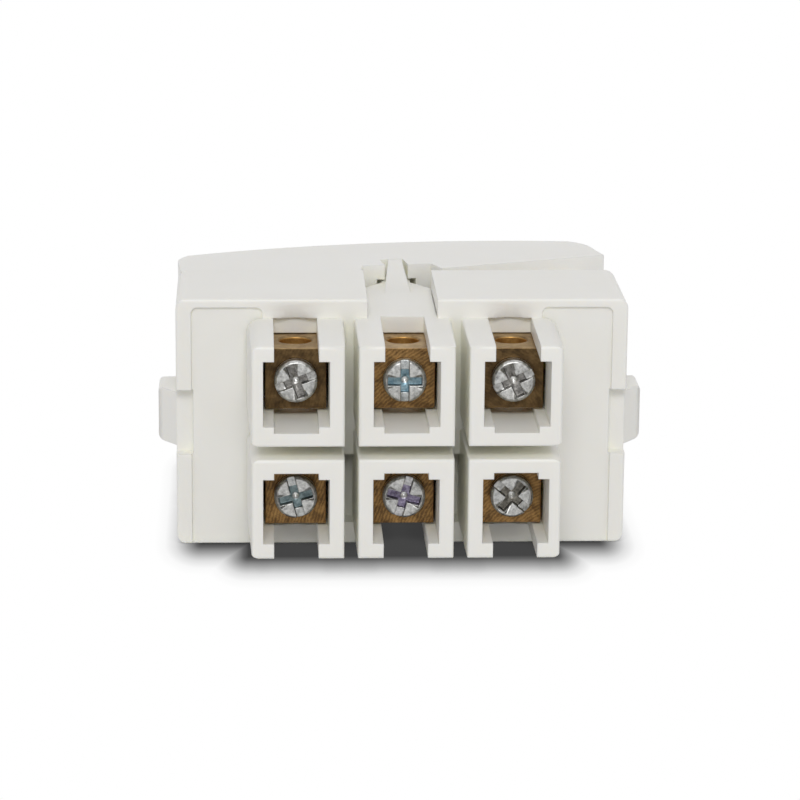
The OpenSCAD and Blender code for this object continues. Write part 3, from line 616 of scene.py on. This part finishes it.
def floor_shadow(tree):
    place = add_node(tree, "TexCoord").outputs["Object"]
    rocker_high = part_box("rocker")[1]
    foot_half = rocker_high[0] - FOOT_INSET
    far_side = rocker_high[1] - FOOT_INSET
    foot = distance_from(tree, place, foot_half, back_face, far_side)
    towers = distance_from(tree, place, TOWERS_HALF, back_face - TOWERS_SHADE, far_side)
    nearest = add_node(tree, "Math", operation="MINIMUM")
    tree.links.new(foot, nearest.inputs[0])
    tree.links.new(towers, nearest.inputs[1])
    reach = add_node(tree, "MapRange")
    reach.inputs["From Max"].default_value = SHADOW_REACH
    tree.links.new(nearest.outputs[0], reach.inputs["Value"])
    fringe = tone_ramp(tree, reach.outputs["Result"], SHADOW_TONES)
    occlusion = add_node(tree, "AmbientOcclusion", samples=OCCLUDER_SAMPLES,
                         Distance=OCCLUDER_REACH)
    core = tone_ramp(tree, occlusion.outputs["AO"], OCCLUDED_TONES)
    shadow = add_node(tree, "VectorMath", operation="MULTIPLY")
    tree.links.new(fringe, shadow.inputs[0])
    tree.links.new(core, shadow.inputs[1])
    return shadow.outputs["Vector"]


print("shadow reaches", SHADOW_REACH / MM, "mm")

# %% Floor
FLOOR_HALF = 3.0
FLOOR_BOUNCE = 0.8

corners = [(-1, -1), (1, -1), (1, 1), (-1, 1)]
floor_mesh = bpy.data.meshes.new("floor")
floor_points = [(x * FLOOR_HALF, y * FLOOR_HALF, 0) for x, y in corners]
floor_mesh.from_pydata(floor_points, [], [(0, 1, 2, 3)])
floor = bpy.data.objects.new("floor", floor_mesh)
bpy.context.scene.collection.objects.link(floor)

table_white = bpy.data.materials.new("table_white")
table_white.use_nodes = True
tree = table_white.node_tree
tree.nodes.clear()
card = add_node(tree, "BsdfDiffuse", Color=(FLOOR_BOUNCE, FLOOR_BOUNCE, FLOOR_BOUNCE, 1))
white = add_node(tree, "Emission", Strength=1.0)
tree.links.new(floor_shadow(tree), white.inputs["Color"])
shown = add_node(tree, "MixShader")
tree.links.new(seen_directly(tree), shown.inputs["Fac"])
tree.links.new(card.outputs[0], shown.inputs[1])
tree.links.new(white.outputs[0], shown.inputs[2])
output = add_node(tree, "OutputMaterial")
tree.links.new(shown.outputs[0], output.inputs["Surface"])
floor_mesh.materials.append(table_white)
print("floor:", 2 * FLOOR_HALF, "m wide")

# %% [markdown]
# ## The light
# The photograph has the even light of a studio tent: one broad lamp in front and above, and pale
# walls all round. The walls could be built as panels, but a plain pale sky gives the same light.
# What is seen directly, or mirrored in the metal, is full white. What lights the object is dimmer,
# so that white plastic keeps its tone.

# %% Light
LAMP_PLACE = Vector((-0.045, -0.85, 0.62))
LAMP_AIM = Vector((0, 0, 0.01))
LAMP_SIZE = 0.4
LAMP_WATTS = 3.7
SKY_LIGHT, SKY_SEEN = 0.58, 1.0

lamp = bpy.data.lights.new("lamp_front", "AREA")
lamp.shape = "DISK"
lamp.size = LAMP_SIZE
lamp.energy = LAMP_WATTS
holder = bpy.data.objects.new("lamp_front", lamp)
holder.location = LAMP_PLACE
holder.rotation_euler = (LAMP_AIM - LAMP_PLACE).to_track_quat("-Z", "Y").to_euler()
bpy.context.scene.collection.objects.link(holder)

sky = bpy.data.worlds.new("sky")
bpy.context.scene.world = sky
sky.use_nodes = True
tree = sky.node_tree
background = tree.nodes["Background"]
background.inputs["Color"].default_value = (1, 1, 1, 1)
strength = value_range(tree, seen_directly(tree), SKY_LIGHT, SKY_SEEN)
tree.links.new(strength, background.inputs["Strength"])
print("lamp:", LAMP_WATTS, "W, and a pale sky")
